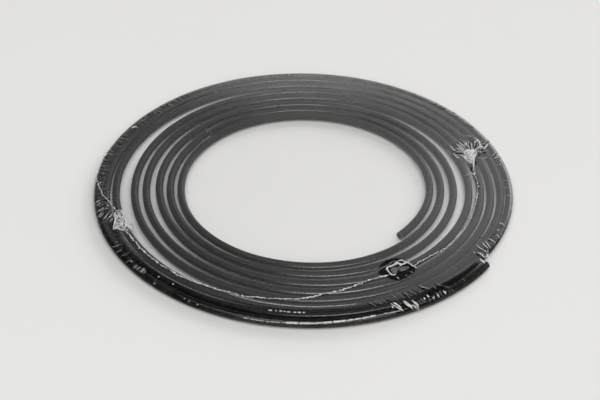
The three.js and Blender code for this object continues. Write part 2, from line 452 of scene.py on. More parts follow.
def crumpled_film():
    """The same film melted or folded. `shade` runs from painted shade in and under a fold at 0 to white at
    1, partly a fold's whitened crest and partly painted glints and highlights.
    """
    material, n = new_material("crumpled_film")
    shade = n.attribute("shade")
    speckle = n.noise(n.place(), 700, 3, 0.6)
    mottled = n.times(shade, n.range(speckle, 0.3, 0.7, 0.75, 1.1))
    sockets = {
        "Base Color": n.ramp(mottled, ((0.0, 0.006), (0.5, 0.22), (1.0, 0.88))),
        "Roughness": 0.24,
        "Specular IOR Level": n.range(shade, 0.0, 0.4, 0.04, 0.5),
        "Normal": n.bump(speckle, 0.0002, 0.5),
    }
    folded = n.add("ShaderNodeBsdfPrincipled", sockets)
    cover = n.times(n.attribute("cover"), n.range(speckle, 0.35, 0.6, 0.75, 1.0))
    n.show(n.over_clear(cover, folded))
    return material


RUBBER = hose_rubber()
CLEAR = clear_film()
CRUMPLED = crumpled_film()


def crumpled_piece(name, node, points, faces, shades, covers):
    """Melted or folded film, with its shade and its cover at each point."""
    piece = make_piece(name, points, faces, CRUMPLED)
    set_values(piece, "shade", shades)
    set_values(piece, "cover", covers)
    dress(piece, node)


# ---- The two hose lengths ----

RING_STEP = 1.5
HOSE_SIDES = 28
CHAMFER = 0.45
SKIN_DEPTH = 0.02  # how far the drawn skin is inside the nominal size
SKIN_WAVER = 0.07
MOST_WAVER = 0.05
CUT_ROUNDING = 0.4
BORE_FLARE = 0.15
END_RUN = (0, CHAMFER, 1.2, 3, 5, HOSE_DIAMETER)  # where a straight end has its rings
END_CLEAR = 1.2 * HOSE_DIAMETER  # how near an end the evenly spaced rings come


def hose_route(start, end):
    """The centre line in the part's frame, straight for a diameter at each end, and square to its cuts."""

    def coil(angles):
        angles = np.atleast_1d(angles)
        plan = plan_points(angles, slip_at(np.clip(angles, start, end))) + SHIFT
        return np.column_stack([plan, HOSE_MIDDLE + lift_at(angles)])

    def straight(angle, distances):
        along = coil(angle + 0.5)[0] - coil(angle - 0.5)[0]
        along /= np.linalg.norm(along)
        return [coil(angle)[0] + along * d for d in distances]

    even = np.arange(math.ceil(start / RING_STEP) * RING_STEP, end, RING_STEP)
    clear = [math.degrees(END_CLEAR / float(radius_at(a))) for a in (start, end)]
    even = even[(even > start + clear[0]) & (even < end - clear[1])]
    last = [-d for d in reversed(END_RUN)]
    return np.vstack([straight(start, END_RUN), coil(even), straight(end, last)])


def hose_length(name, start, end, seed):
    """A hose with its bore: a slightly uneven extruded skin, and knife-cut ends with a pale rim, partly
    the cut face's own paler tone and partly a painted highlight.
    """
    route = hose_route(start, end)
    count = len(route)
    chance = np.random.default_rng(seed)
    skin = np.convolve(chance.normal(0, 1, count + 8), np.ones(9) / 9, "valid") * SKIN_WAVER
    radii = np.full(count, HOSE_RADIUS - SKIN_DEPTH) + np.clip(skin, -MOST_WAVER, MOST_WAVER)
    radii[[0, -1]] -= CUT_ROUNDING
    bore = np.full(count, BORE_RADIUS)
    bore[[0, -1]] += BORE_FLARE
    outer, inner = (sweep(route, r[:, None, None] * circle(HOSE_SIDES)) for r in (radii, bore))
    faces = ring_faces(count, HOSE_SIDES) + ring_faces(count, HOSE_SIDES, len(outer), flip=True)
    for ring, near in ((0, True), (count - 1, False)):
        for j in range(HOSE_SIDES):
            a, b = ring * HOSE_SIDES + j, ring * HOSE_SIDES + (j + 1) % HOSE_SIDES
            quad = (a, b, len(outer) + b, len(outer) + a)
            faces.append(quad[::-1] if near else quad)
    piece = make_piece(name, np.vstack([outer, inner]), faces, RUBBER)
    sheen = np.repeat(sheen_at(np.linspace(start, end, count)), HOSE_SIDES)
    set_values(piece, "sheen", np.tile(sheen, 2))
    # the pale rim at each cut end, partly a painted highlight
    rim = np.zeros(2 * len(outer))
    rim[:HOSE_SIDES] = 1
    rim[len(outer) - HOSE_SIDES : len(outer)] = 1
    set_values(piece, "cut_rim_highlight", rim)
    return piece, route


CUT_HALF = math.degrees(CUT_OPEN / 2 / float(radius_at(CUT)))

for hose_name, hose_node, begin, finish, hose_seed in (
    ("inner_hose", "hose_inner_length", INNER_END, CUT - CUT_HALF, 11),
    ("outer_hose", "hose_outer_length", CUT + CUT_HALF, OUTER_END, 12),
):
    hose, hose_path = hose_length(hose_name, begin, finish, hose_seed)
    dress(hose, hose_node)
    float(np.linalg.norm(np.diff(hose_path, axis=0), axis=1).sum()) * MM

# ---- The film ----

FINE = 2880  # film sections round the edge
COARSE = 480  # film sections over the middle
FILM_OFF = 0.12  # how far the film's middle is from what it lies on
FLOOR_FILM = 0.08
MIDDLE_RISE = 0.25  # how much higher the film is at the coil's centre
EDGE_START = 158.0  # where the finely divided edge begins
EDGE_RINGS = 16
ARC_RINGS = 12
TOP_RINGS = (20, 45, 70, 90, 104) + tuple(range(110, 158, 3))
BASE_RINGS = (160, 120, 70, 20)
END_DRAPE = 5.0  # the angle in which the film drops from the outer end to the turn inside it


def crest_line(direction):
    """What the tight film rests on along one direction: (radius, height) of the coil's upper hull."""
    crossings = [direction + 360 * k for k in range(-1, len(TURN_RADII) + 1)]
    hull = []
    for angle in crossings:
        if not INNER_END <= angle <= OUTER_END:
            continue
        r, z = float(radius_at(angle)), HOSE_MIDDLE + HOSE_RADIUS + FILM_OFF + float(lift_at(angle))
        while len(hull) > 1:
            (r1, z1), (r2, z2) = hull[-2:]
            if (z2 - z1) * (r - r1) > (z - z1) * (r2 - r1):
                break
            hull.pop()
        hull.append((r, z))
    return hull


DIRECTION = np.arange(FINE) * 360 / FINE
CREST_LINES = [crest_line(d) for d in DIRECTION]
LAST_CREST, CREST_HEIGHT = np.array([line[-1] for line in CREST_LINES]).T
PAST_END = (DIRECTION - OUTER_END) % 360
DRAPE = np.where(PAST_END < END_DRAPE, 1 - smooth(PAST_END / END_DRAPE), 0)
CREST = LAST_CREST + (float(radius_at(OUTER_END)) - LAST_CREST) * DRAPE
OUTLINE = CREST + HOSE_RADIUS + FILM_OFF
MIDDLE_HEIGHT = HOSE_MIDDLE + HOSE_RADIUS + FILM_OFF + MIDDLE_RISE


def film_height(direction, radius):
    """The tight film's height at one direction and radius, without its folds."""
    i = int(round(direction % 360 * FINE / 360)) % FINE
    radii, heights = zip(*CREST_LINES[i])
    if radius < radii[0]:
        u = radius / radii[0]
        return MIDDLE_HEIGHT * (1 - u) + heights[0] * u
    if radius <= CREST[i]:
        return float(np.interp(radius, radii, heights))
    out = min(1.0, (radius - CREST[i]) / (OUTLINE[i] - CREST[i]))
    middle = (CREST_HEIGHT[i] + FLOOR_FILM) / 2
    return middle + (CREST_HEIGHT[i] - middle) * math.sqrt(1 - out * out)


def film_place(x, y, above=0.0):
    """A point over the film, from its plan position in the part's frame."""
    px, py = x - SHIFT[0], y - SHIFT[1]
    direction = math.degrees(math.atan2(py, px)) % 360
    return np.array([x, y, film_height(direction, math.hypot(px, py)) + above])


def film_normal(x, y):
    """The film's upward normal at a plan position, from its height a little way round it."""
    d = 0.3
    gx = (film_place(x + d, y)[2] - film_place(x - d, y)[2]) / (2 * d)
    gy = (film_place(x, y + d)[2] - film_place(x, y - d)[2]) / (2 * d)
    n = np.array([-np.clip(gx, -1.5, 1.5), -np.clip(gy, -1.5, 1.5), 1.0])
    return n / np.linalg.norm(n)


# Where the edge is softly pleated: the directions, how many pleats, the radii between which their
# middles lie, their lengths, their height, and their slant away from straight outwards.
PLEATS = (
    ((50, 92), 16, (183, 188), (4, 8), 0.2, 0),
    ((92, 112), 16, (182, 186), (5, 9), 0.25, 0),
    ((128, 186), 60, (181, 188), (5, 10), 0.3, 8),
    ((185, 202), 34, (177, 189), (7, 16), 0.4, 35),
    ((204, 236), 30, (176, 188), (5, 12), 0.12, -5),
    ((236, 288), 16, (172, 187), (4, 8), 0.08, 0),
    ((289, 312), 26, (174, 186), (7, 14), 0.35, 35),
    ((332, 347), 4, (172, 182), (7, 13), 0.12, 30),
    ((348, 382), 12, (182, 188), (5, 9), 0.09, 0),
)
PLEAT_SEED = 5


def pleat_field(directions, radii):
    """The height of all the pleats over a grid of directions and radii."""
    chance = random.Random(PLEAT_SEED)
    field = np.zeros(directions.shape)
    for span, count, middles, lengths, height, slant in PLEATS:
        for _ in range(count):
            length = chance.uniform(*lengths)
            direction = chance.uniform(*span)
            radius = chance.uniform(*middles)
            tall = height * chance.uniform(0.35, 1.0) * chance.choice((1, 1, -0.5))
            width = chance.uniform(0.7, 1.5)
            lean = math.radians(slant + chance.gauss(0, 9))
            bow = chance.uniform(-1.5, 1.5)
            across = np.radians(turned(directions, direction)) * radius
            out = radii - radius
            along = out * math.cos(lean) + across * math.sin(lean)
            aside = across * math.cos(lean) - out * math.sin(lean) + bow * (along / length) ** 2
            shape = np.clip(1 - np.abs(aside) / width, 0, 1) ** 1.3
            shape *= smooth((1 - np.abs(along) / (length / 2)) * 2.5)
            field = field + tall * shape
    return field


# ---- Places on the film that pixels show ----


def on_film(px, py):
    """(direction, radius) of the point of the tight film that a pixel of the photograph shows."""
    camera = bpy.context.scene.camera
    side, top, back = (np.array(v) for v in camera.matrix_world.to_3x3().transposed())
    eye = np.array(camera.matrix_world.translation) / MM
    focal = LENS / SENSOR * FRAME_WIDTH
    ray = side * (px - FRAME_WIDTH / 2) - top * (py - FRAME_HEIGHT / 2) - back * focal

    def at(z):
        x, y, _ = eye + ray * (z - eye[2]) / ray[2]
        x, y = x - SHIFT[0], y - SHIFT[1]
        return math.degrees(math.atan2(y, x)) % 360, math.hypot(x, y)

    low, high = 2.0, 12.0
    for _ in range(24):
        middle = (low + high) / 2
        if middle > film_height(*at(middle)):
            high = middle
        else:
            low = middle
    return at(high)


def plan_line(pixels, step=0.6):
    """A dense plan line in the part's frame: a smooth curve through pixels of the photograph."""
    stations = [polar(*on_film(px, py))[:2] for px, py in pixels]
    line = [stations[0]]
    padded = [2 * stations[0] - stations[1], *stations, 2 * stations[-1] - stations[-2]]
    for p0, p1, p2, p3 in zip(padded, padded[1:], padded[2:], padded[3:]):
        bend = 2 * p0 - 5 * p1 + 4 * p2 - p3
        sway = 3 * p1 - p0 - 3 * p2 + p3
        steps = max(2, int(np.linalg.norm(p2 - p1) / step))
        for i in range(1, steps + 1):
            t = i / steps
            line.append(0.5 * (2 * p1 + (p2 - p0) * t + bend * t * t + sway * t**3))
    return np.array(line)


def plan_outline(pixels, step):
    """A closed plan line through pixels, without its first point again."""
    return plan_line(pixels + pixels[:1], step)[:-1]


# The vent's opening, the curled lip that stands in it, and the thin torn edge behind the lip.
VENT_EDGE = (
    (378.4, 273.4), (379.6, 266), (384, 261.8), (390, 259.2), (397, 258.2), (404, 260), (410, 263.4),
    (414.8, 268.4), (414.4, 272), (410.5, 274.6), (406.6, 277), (401.2, 280.6), (396, 280.8),
    (391, 279.2), (387.4, 276.8), (382.6, 276.2),
)
VENT_LIP = (
    (416.4, 268.4), (412.8, 266.6), (410, 264.7), (407.4, 263.2), (404.3, 264.3), (400.5, 265.5),
    (398.2, 263.9), (395, 265), (392, 266.6), (387.8, 267.8), (387, 269.3), (387.4, 271.2),
    (389.3, 273.2), (390.8, 275), (394.3, 275.8), (395.5, 274.3),
)
VENT_STRAND = ((397.6, 262.2), (399.6, 261.2), (401.6, 260.8), (404.7, 262.4), (407.4, 262.8))
VENT_LUMP = ((394.4, 265.4), (397, 263.8), (399.4, 265))
VENT_TEAR = (
    (374, 272.4), (378.2, 270.8), (383.5, 267.8), (388.2, 265), (392, 262.4), (397, 261.2),
    (401.2, 260.5),
)
VENT_RIM = ((391.2, 280.5), (396.6, 282), (401.2, 280.8), (406.6, 278.2))
VENT_SHREDS = (
    ((397, 277.2), (399, 279.3)), ((405.5, 276.2), (406.8, 274.7)),
    ((409.3, 272), (411.4, 272.2), (413.5, 273.2)),
)
VENT_FLAP = (
    (390, 269.3), (393.5, 267.4), (396.6, 266.6), (402.8, 266.6), (408.9, 266.6), (408.2, 268.9),
    (404.7, 270.5), (401.2, 271.6), (398.2, 270), (396.6, 272), (393.5, 273.5), (391.2, 271.2),
)
VENT_OUTLINE = plan_outline(VENT_EDGE, 1.0)


def inside_plan(outline, x, y):
    """Whether plan points lie inside a closed outline."""
    within = np.zeros(np.shape(x), bool)
    for (x1, y1), (x2, y2) in zip(outline, np.roll(outline, -1, 0)):
        crosses = (y1 > y) != (y2 > y)
        run = x1 + (x2 - x1) * (y - y1) / (y2 - y1 if y2 != y1 else 1e-9)
        within ^= crosses & (x < run)
    return within


def nearest_on(outline, point):
    best, place = 1e9, point
    for a, b in zip(outline, np.roll(outline, -1, 0)):
        t = np.clip(((point - a) @ (b - a)) / ((b - a) @ (b - a) + 1e-9), 0, 1)
        q = a + (b - a) * t
        if np.linalg.norm(point - q) < best:
            best, place = np.linalg.norm(point - q), q
    return place


# How closely the film's rim clings to the hose, by direction.
CLING = (
    (0, 0.2), (40, 0.2), (60, 0.0), (180, 0.0), (196, 0.3), (206, 0.9), (244, 0.9), (258, 0.45),
    (300, 0.45), (318, 0.85), (340, 0.85), (352, 0.2), (360, 0.2),
)


def cling_at(direction, up):
    """How much the film clings, for a direction and the upward part of its normal there."""
    most = np.interp(direction, *np.array(CLING).T)
    return most * smooth((0.98 - up) / 0.15)


def edge_rings():
    """The finely divided edge with its pleats: out to the last crest, over it, and under."""
    rows = []
    for i in range(EDGE_RINGS + 1):
        radius = EDGE_START + (CREST - EDGE_START) * i / EDGE_RINGS
        height = np.array([film_height(d, r) for d, r in zip(DIRECTION, radius)])
        rows.append((radius, height, np.zeros(FINE), np.ones(FINE)))
    half_height = (CREST_HEIGHT - FLOOR_FILM) / 2
    for i in range(1, ARC_RINGS + 1):
        tilt = math.pi / 2 - math.pi * i / ARC_RINGS
        out, up = math.cos(tilt), math.sin(tilt)
        radius = CREST + (OUTLINE - CREST) * out
        rows.append((radius, FLOOR_FILM + half_height * (1 + up), np.full(FINE, out), np.full(FINE, up)))
    radii, heights, outs, ups = (np.array(column) for column in zip(*rows))
    along_film = radii + (1 - ups) * 5.5  # how far a point is from the middle, measured over the film
    folds = pleat_field(np.tile(DIRECTION, (len(rows), 1)), along_film)
    folds *= smooth((radii - EDGE_START) / 6)
    folds *= np.clip(ups + 1.2, 0, 1)
    for r, h, up in zip(radii + folds * outs, heights + folds * ups, ups):
        plan = compass(DIRECTION) * r[:, None] + SHIFT
        yield np.column_stack([plan, h]), cling_at(DIRECTION, up)


def film_rings():
    """Each ring's points and how much it clings, from the coil's middle outwards, round and under."""
    coarse = np.arange(COARSE) * 360 / COARSE
    for radius in TOP_RINGS:
        yield [polar(d, radius, film_height(d, radius)) for d in coarse], np.zeros(COARSE)
    yield from edge_rings()
    for radius in BASE_RINGS:
        yield [polar(d, radius, FLOOR_FILM) for d in coarse], np.zeros(COARSE)


def bridge(a, a_count, b, b_count):
    """Faces between two rings of as many points, or of many times as many."""
    few, many = sorted((a_count, b_count))
    ratio = many // few
    for j in range(few):
        k = (j + 1) % few
        fan = [(ratio * j + m) % many for m in range(ratio + 1)]
        if a_count > b_count:
            yield (*[a + f for f in reversed(fan)], b + j, b + k)
        else:
            yield (a + j, *[b + f for f in fan], a + k)


def cut_vent(points, faces):
    """Drops what is inside the vent, and pulls the edge left onto its outline.

    Returns which points are still used, and the faces over those alone.
    """
    inside = inside_plan(VENT_OUTLINE, points[:, 0], points[:, 1]) & (points[:, 2] > HOSE_MIDDLE)
    kept = [f for f in faces if not any(inside[i] for i in f)]
    dropped = {i for f in faces if any(inside[i] for i in f) for i in f}
    used = sorted({i for f in kept for i in f})
    for i in dropped.intersection(used):
        points[i, :2] = nearest_on(VENT_OUTLINE, points[i, :2])
    index = {old: new for new, old in enumerate(used)}
    return used, [[index[i] for i in f] for f in kept]


def film_bag():
    rings, clings = zip(*film_rings())
    counts = [len(ring) for ring in rings]
    firsts = np.cumsum([0, *counts]).tolist()
    points = np.vstack([*rings, polar(0, 0, MIDDLE_HEIGHT), polar(0, 0, FLOOR_FILM)])
    middle, below = firsts[-1], firsts[-1] + 1
    first, last = firsts[0], firsts[-2]
    faces = [(middle, first + j, first + (j + 1) % counts[0]) for j in range(counts[0])]
    faces += [(below, last + (j + 1) % counts[-1], last + j) for j in range(counts[-1])]
    for a, a_count, b, b_count in zip(firsts, counts, firsts[1:], counts[1:]):
        faces += bridge(a, a_count, b, b_count)
    used, kept = cut_vent(points, faces)
    piece = make_piece("film_skin", points[used], kept, CLEAR)
    set_values(piece, "cling", np.concatenate([*clings, (0.0, 0.0)])[used])
    return piece


dress(film_bag(), "film_bag")

# ---- The folds that show as bright and dark strokes: whitened crests with painted glints and highlights, and painted shade ----

FOLD_OFF = 0.04  # how far a fold's foot is above the film
FOLD_WANDER = 0.25
DASH_STEP = 0.4


class Folds:
    """Gathers creased ridges of film into one mesh with a shade and a cover at each point. Pale shades are
    whitening with painted glints and highlights, dark ones are painted shade.
    """

    PROFILE = ((-1, 0, 0), (-0.5, 0.6, 0.85), (0, 1, 1), (0.5, 0.6, 0.85), (1, 0, 0))

    def __init__(self, seed):
        self.chance = random.Random(seed)
        self.points, self.faces, self.shades, self.covers = [], [], [], []

    def ridge(self, line, width, height, shade, cover, wander=0.0, blunt=False, fade=0.0):
        """A ridge on the film along a plan line. It swells and thins, and runs out at its ends.

        A blunt one is as wide at its ends. An even one comes in over `fade` of its length.
        """
        last, start, columns = len(line) - 1, len(self.points), len(self.PROFILE)
        phase = self.chance.uniform(0, 100)
        for i, (x, y) in enumerate(line):
            u = i / last
            swell = 1 if blunt and 0 < i < last else max(0.05, math.sin(math.pi * u)) ** 0.5
            aside = wander * waver(i * 0.5, phase, 5)
            light, thickness = shade, cover
            if fade:
                thickness *= float(smooth(min(u, 1 - u) / fade))
            else:
                swell *= 1 + 0.35 * waver(i * 0.55, phase, 1)
                light *= 1 + 0.3 * waver(i * 0.7, phase, 9)
            normal = film_normal(x, y)
            across = np.cross(normal, [*heading(line, i), 0.0])
            centre = film_place(x, y)
            for a, h, c in self.PROFILE:
                offset = across * (aside + a * width / 2 * swell)
                self.points.append(centre + offset + normal * (FOLD_OFF + h * height * swell))
                self.shades.append(min(1.0, max(0.0, light)))
                self.covers.append(min(1.0, thickness * c))
        for i in range(last):
            for j in range(columns - 1):
                a = start + i * columns + j
                self.faces.append((a, a + 1, a + columns + 1, a + columns))

    def strokes(self, lines, width, height, shade, cover):
        for pixels in lines:
            self.ridge(plan_line(pixels), width, height, shade, cover, FOLD_WANDER)

    def ticks(self, start, end, reach, count, width, height, shades, cover):
        """Short pleats side by side from one pixel to another, each reaching as far as `reach`."""
        for i in range(count):
            u = (i + self.chance.uniform(-0.3, 0.3)) / (count - 1)
            x = start[0] + (end[0] - start[0]) * u
            y = start[1] + (end[1] - start[1]) * u
            size = self.chance.uniform(0.55, 1.1)
            turn = self.chance.gauss(0, 0.13)
            dx = (reach[0] - reach[1] * turn) * size
            dy = (reach[1] + reach[0] * turn) * size
            bow = self.chance.uniform(-0.08, 0.08)
            middle = (x + dx / 2 - dy * bow, y + dy / 2 + dx * bow)
            line = plan_line(((x, y), middle, (x + dx, y + dy)))
            shade = shades[i % len(shades)] * self.chance.uniform(0.75, 1.1)
            self.ridge(line, width * self.chance.uniform(0.7, 1.2), height, shade, cover)

    def dashes(self, pixels, width, lengths, gaps, shade, cover):
        """A broken line of short ridges, of mixed lengths with mixed gaps."""
        line = plan_line(pixels, DASH_STEP)
        s = 0.0
        while s < DASH_STEP * (len(line) - 3):
            length = self.chance.uniform(*lengths)
            part = line[int(s / DASH_STEP) : int((s + length) / DASH_STEP) + 3]
            if len(part) > 2:
                thick = width * self.chance.uniform(0.7, 1.25)
                light = shade * self.chance.uniform(0.75, 1.1)
                self.ridge(part, thick, thick * 0.6, light, cover, 0.4, blunt=True)
            s += length + self.chance.uniform(*gaps)

    def fan(self, core, start, end, near, far, count, width, shades):
        """Pleats that spread from a core pixel between two angles, each from a near to a far size."""
        for i in range(count):
            u = (i + self.chance.uniform(-0.3, 0.3)) / (count - 1)
            a = math.radians(start + (end - start) * u)
            r1 = near * self.chance.uniform(0.7, 1.6)
            r2 = float(np.interp(u, (0, 0.5, 1), far)) * self.chance.uniform(0.7, 1.05)
            bow = self.chance.uniform(-0.12, 0.12)
            line = [
                (core[0] + r * math.cos(a + t), core[1] - r * math.sin(a + t))
                for r, t in ((r1, 0), ((r1 + r2) / 2, bow), (r2, 0))
            ]
            shade = shades[i % len(shades)] * self.chance.uniform(0.7, 1.1)
            self.ridge(plan_line(line), width * self.chance.uniform(0.7, 1.2), 0.8, shade, 0.95, 0.3)

    def dots(self, places, size, shade):
        for px, py in places:
            line = plan_line(((px - size / 2, py + size / 3), (px + size / 2, py - size / 3)), 0.3)
            self.ridge(line, size, size * 0.5, shade, 0.95)

    def finish(self, name, node):
        crumpled_piece(name, node, self.points, self.faces, self.shades, self.covers)


# Single folds, as the pixels along each: most at the front right edge, a few elsewhere at the rim. The
# bright and pale ones are whitened crests with painted glints, the dark ones painted shade.
BRIGHT_FOLDS = (
    ((390.5, 303.5), (395, 306.5), (401, 310.5)), ((391.5, 306.3), (393.7, 308.2)),
    ((393, 302.2), (400.4, 307.6)), ((396.4, 307.4), (403.4, 311.2)), ((403, 300.6), (409.6, 304.6)),
    ((406, 304.8), (412.6, 308.6)), ((411.4, 305), (416.6, 310)),
    ((394.8, 302.8), (398, 305.4), (401.5, 308)), ((403.2, 301), (407, 303.8)),
    ((404, 303), (409, 306), (413, 309.5)), ((407.5, 303.6), (412, 307)),
    ((411.8, 300), (414, 302.4), (416.4, 305.6)), ((414.6, 301.6), (418.6, 307.4)),
    ((415.6, 305.6), (419.6, 310)), ((424, 297.4), (424.8, 299.8)), ((426.6, 294.8), (429.2, 297.4)),
    ((432.6, 297), (434, 298.6)), ((436.8, 293.8), (439.2, 297.6)),
    ((443.2, 290.4), (444.6, 292.4), (446.2, 294.6)), ((486.6, 253.8), (487.6, 255.9), (485.6, 257)),
    ((477, 252.7), (480.2, 253.6), (482.9, 255.9), (484.3, 257.7)),
    ((131, 128.6), (134, 127), (137, 126.4)),
)
PALE_FOLDS = (
    ((393.5, 290.5), (399, 294.6), (405.5, 298.8)), ((386.8, 291.6), (392, 295.6), (399, 299.2)),
    ((404, 292.8), (407.5, 295.8), (411, 298.8)), ((374, 300.6), (377.4, 304)),
    ((376.4, 299.4), (381.4, 304)), ((379.4, 299.2), (384, 303)), ((383, 299), (386.4, 301.8)),
    ((439, 291.4), (440.4, 293.6)), ((448, 290.8), (450, 293.2)), ((420, 298), (423, 302)),
    ((417.6, 300), (421, 304.4)), ((462, 278), (465, 281.6)), ((433, 286), (436, 289)),
    ((114, 243.6), (117.8, 241.6)), ((115.4, 247.4), (118.6, 245.8), (122.8, 244.4)),
    ((437, 107), (442, 106.4)), ((453, 116), (459, 117.2)), ((465, 123.8), (470, 125)),
)
DARK_FOLDS = (
    ((392, 304.8), (397, 308.4), (402, 311)), ((393.4, 301.4), (399.6, 304.6)),
    ((401.4, 303), (406, 306.4), (411, 310)), ((409, 301), (414, 305.8)), ((434.4, 105.4), (437.4, 103)),
    ((440.4, 109.6), (446, 107.8)), ((452, 112.6), (456, 113.6)), ((470, 126), (473, 127.6)),
    ((122, 244.4), (126, 247.6)), ((123, 249.4), (127.6, 250.4)),
)
# The film's bright edge across the outer cut end, whitened with a painted highlight, and the pleats that
# spread above it: pale ones with painted glints, dark ones painted shade.
CUT_LINE = ((479.6, 258.6), (482.2, 260.9), (484.8, 263.2))
FAN_PALE = (
    ((476.7, 244.8), (479.6, 248.1), (483.9, 250), (486.7, 252.6)),
    ((482, 242.4), (485, 245.8), (488.4, 248.4)), ((485.3, 240.9), (488.2, 245.2), (491.1, 249.1)),
    ((488.2, 238.1), (492, 240.5), (495.4, 243.8)), ((497.5, 229.1), (499, 230.7)),
    ((500.2, 232.8), (501.6, 234.4)), ((498.7, 221.8), (502, 224), (505, 226.3)),
    ((496.5, 234.5), (499.3, 238.2)), ((473.4, 251.4), (476, 253.6)),
)
FAN_DARK = (
    ((477, 246.4), (480.2, 249.5), (482.2, 251)), ((482.9, 247.7), (486.5, 250.5)),
    ((485.2, 242.3), (489.3, 246.8)), ((487.5, 240.9), (491, 240.5), (493, 242.3)),
    ((500.8, 237), (498.6, 240.4), (495.6, 244.4)), ((495.2, 244.8), (491, 249.4), (488.6, 253)),
    ((475.2, 250.9), (477, 254.1), (480.2, 255.9)), ((481, 255.9), (484.7, 258.6)),
    ((480.2, 237.3), (481.5, 238.2)), ((490.2, 237.7), (491.5, 238.6)), ((493.4, 234.1), (494.7, 235)),
    ((484.7, 252.3), (485.6, 253.8)),
)
# Pleats at the left, between the weld and the coil's rim: the pale ones whitened with painted glints, the
# dark ones painted shade between them.
LEFT_PALE = (
    ((95.4, 203.4), (97.6, 201.6), (100, 199.9)), ((96.6, 206), (99, 203.8), (101, 202.4)),
    ((100.4, 210.7), (103.7, 208.2)), ((105.3, 209.4), (107.8, 207.8)), ((97.4, 212.6), (100.4, 209.4)),
    ((98, 216.8), (99.8, 214.8), (102, 212.3)), ((99, 218.2), (101, 216), (103.7, 213.6)),
    ((106.6, 220.2), (109.6, 217), (112.4, 213.6)), ((109.5, 222.3), (112.8, 218.1)),
    ((103.4, 219.4), (106, 216.6), (108.4, 213)), ((106.4, 204.4), (109, 206)),
)
LEFT_DARK = (
    ((96.2, 205), (99.4, 202)), ((96.8, 210.6), (100, 207.6)), ((101.2, 207.8), (102.9, 206.5)),
    ((97.6, 215), (100.6, 211.6)), ((105.3, 210.7), (107.4, 209)), ((102, 212.7), (103.7, 211.5)),
    ((102.9, 215.6), (104.5, 214)), ((106.6, 216.9), (109.9, 214)), ((99.4, 219.6), (102.4, 215.8)),
    ((104.1, 220.6), (105.3, 219)), ((107.8, 219.6), (108.8, 217.6)),
)
# Small glints along the left and the front left.
GLINTS = (
    (154.5, 283.6), (173, 284.2), (184.6, 298.6), (158.6, 277), (131.6, 261.8), (110.8, 195.6),
    (102.8, 208.6), (100.4, 183), (197.6, 304.8), (189, 301.6),
)

# Each set of single folds: its width, height, shade and cover.
SINGLE_FOLDS = (
    (BRIGHT_FOLDS, 1.8, 0.7, 1.3, 1.3),
    (PALE_FOLDS, 1.4, 0.7, 0.5, 0.75),
    (DARK_FOLDS, 2.0, 0.3, 0.0, 0.95),
    ((CUT_LINE,), 2.6, 0.25, 1.3, 1.0),
    (FAN_DARK, 2.2, 0.2, 0.0, 0.97),
    (FAN_PALE, 1.6, 0.4, 0.9, 0.97),
    (LEFT_DARK, 1.7, 0.2, 0.0, 0.9),
    (LEFT_PALE, 1.2, 0.4, 0.85, 0.95),
)

# Broken lines of painted highlight, where the film bends over the outer two turns at the front: the pixels
# along each, its width, the lengths of its dashes and of its gaps, its shade and its cover.
FRONT_LEFT = ((243, 317.6), (250, 319), (262, 320.8), (274, 322), (286, 322.8))
FRONT_MIDDLE = ((286, 322.8), (304, 323.4), (322, 323), (340, 321.4), (358, 319), (376, 315.8))
FRONT_RIGHT = ((376, 315.8), (388, 313.2), (400, 310.8))
BAND_TOP = ((268, 310.4), (280, 311.2), (292, 312.4), (305, 312.8))
EDGE_GLINTS = (
    (FRONT_LEFT, 1.1, (2, 8), (0.6, 2.4), 1.0, 0.99),
    (FRONT_MIDDLE, 1.7, (3, 11), (0.3, 1.6), 1.35, 1.3),
    (FRONT_RIGHT, 1.1, (2, 6), (0.5, 2), 0.8, 0.99),
    (BAND_TOP, 1.4, (0.8, 3), (1.5, 3.5), 1.35, 1.3),
)

# Rows of short pleats: the first and the last pixel, how far a pleat reaches, how many there are,
# their width and height, their shades by turns, and their cover.
# The dark shades are painted shade between the pleats; the pale ones are whitening with painted glints.
SHORT_PLEATS = (
    # along the coil's left edge, from the back to the front
    ((152, 112), (108, 150), (4, 3.5), 15, 1.3, 0.5, (0.35, 0.0), 0.6),
    ((104, 153), (97.5, 176), (7, 2.5), 12, 1.3, 0.5, (0.55, 0.0, 0.0), 0.7),
    ((97, 178), (95.5, 200), (7, -1), 12, 1.3, 0.5, (0.4, 0.05), 0.65),
    ((110, 247), (128, 266), (9, -6), 13, 1.3, 0.5, (0.0, 0.6, 0.0), 0.85),
    ((133, 268.4), (143.4, 274.6), (4.6, -4.4), 8, 0.8, 0.5, (0.95,), 0.9),
    ((152, 283), (170, 294), (4, -5), 9, 0.6, 0.5, (0.4,), 0.6),
    # at the right
    ((491.8, 156), (502.4, 170.6), (4.4, -3.6), 13, 1.1, 0.25, (0.9, 0.0), 0.85),
    ((504.6, 224), (497, 240), (-4.6, -3.6), 6, 0.8, 0.2, (0.45, 0.1), 0.5),
    # over the front band
    ((372, 308), (388, 305), (-1.5, 5), 7, 0.7, 0.5, (0.35,), 0.6),
    ((420, 301), (452, 288), (2, 4.5), 12, 0.8, 0.5, (0.3, 0.75), 0.7),
    ((455, 283), (476, 270), (2, 4), 6, 0.6, 0.5, (0.25,), 0.6),
)

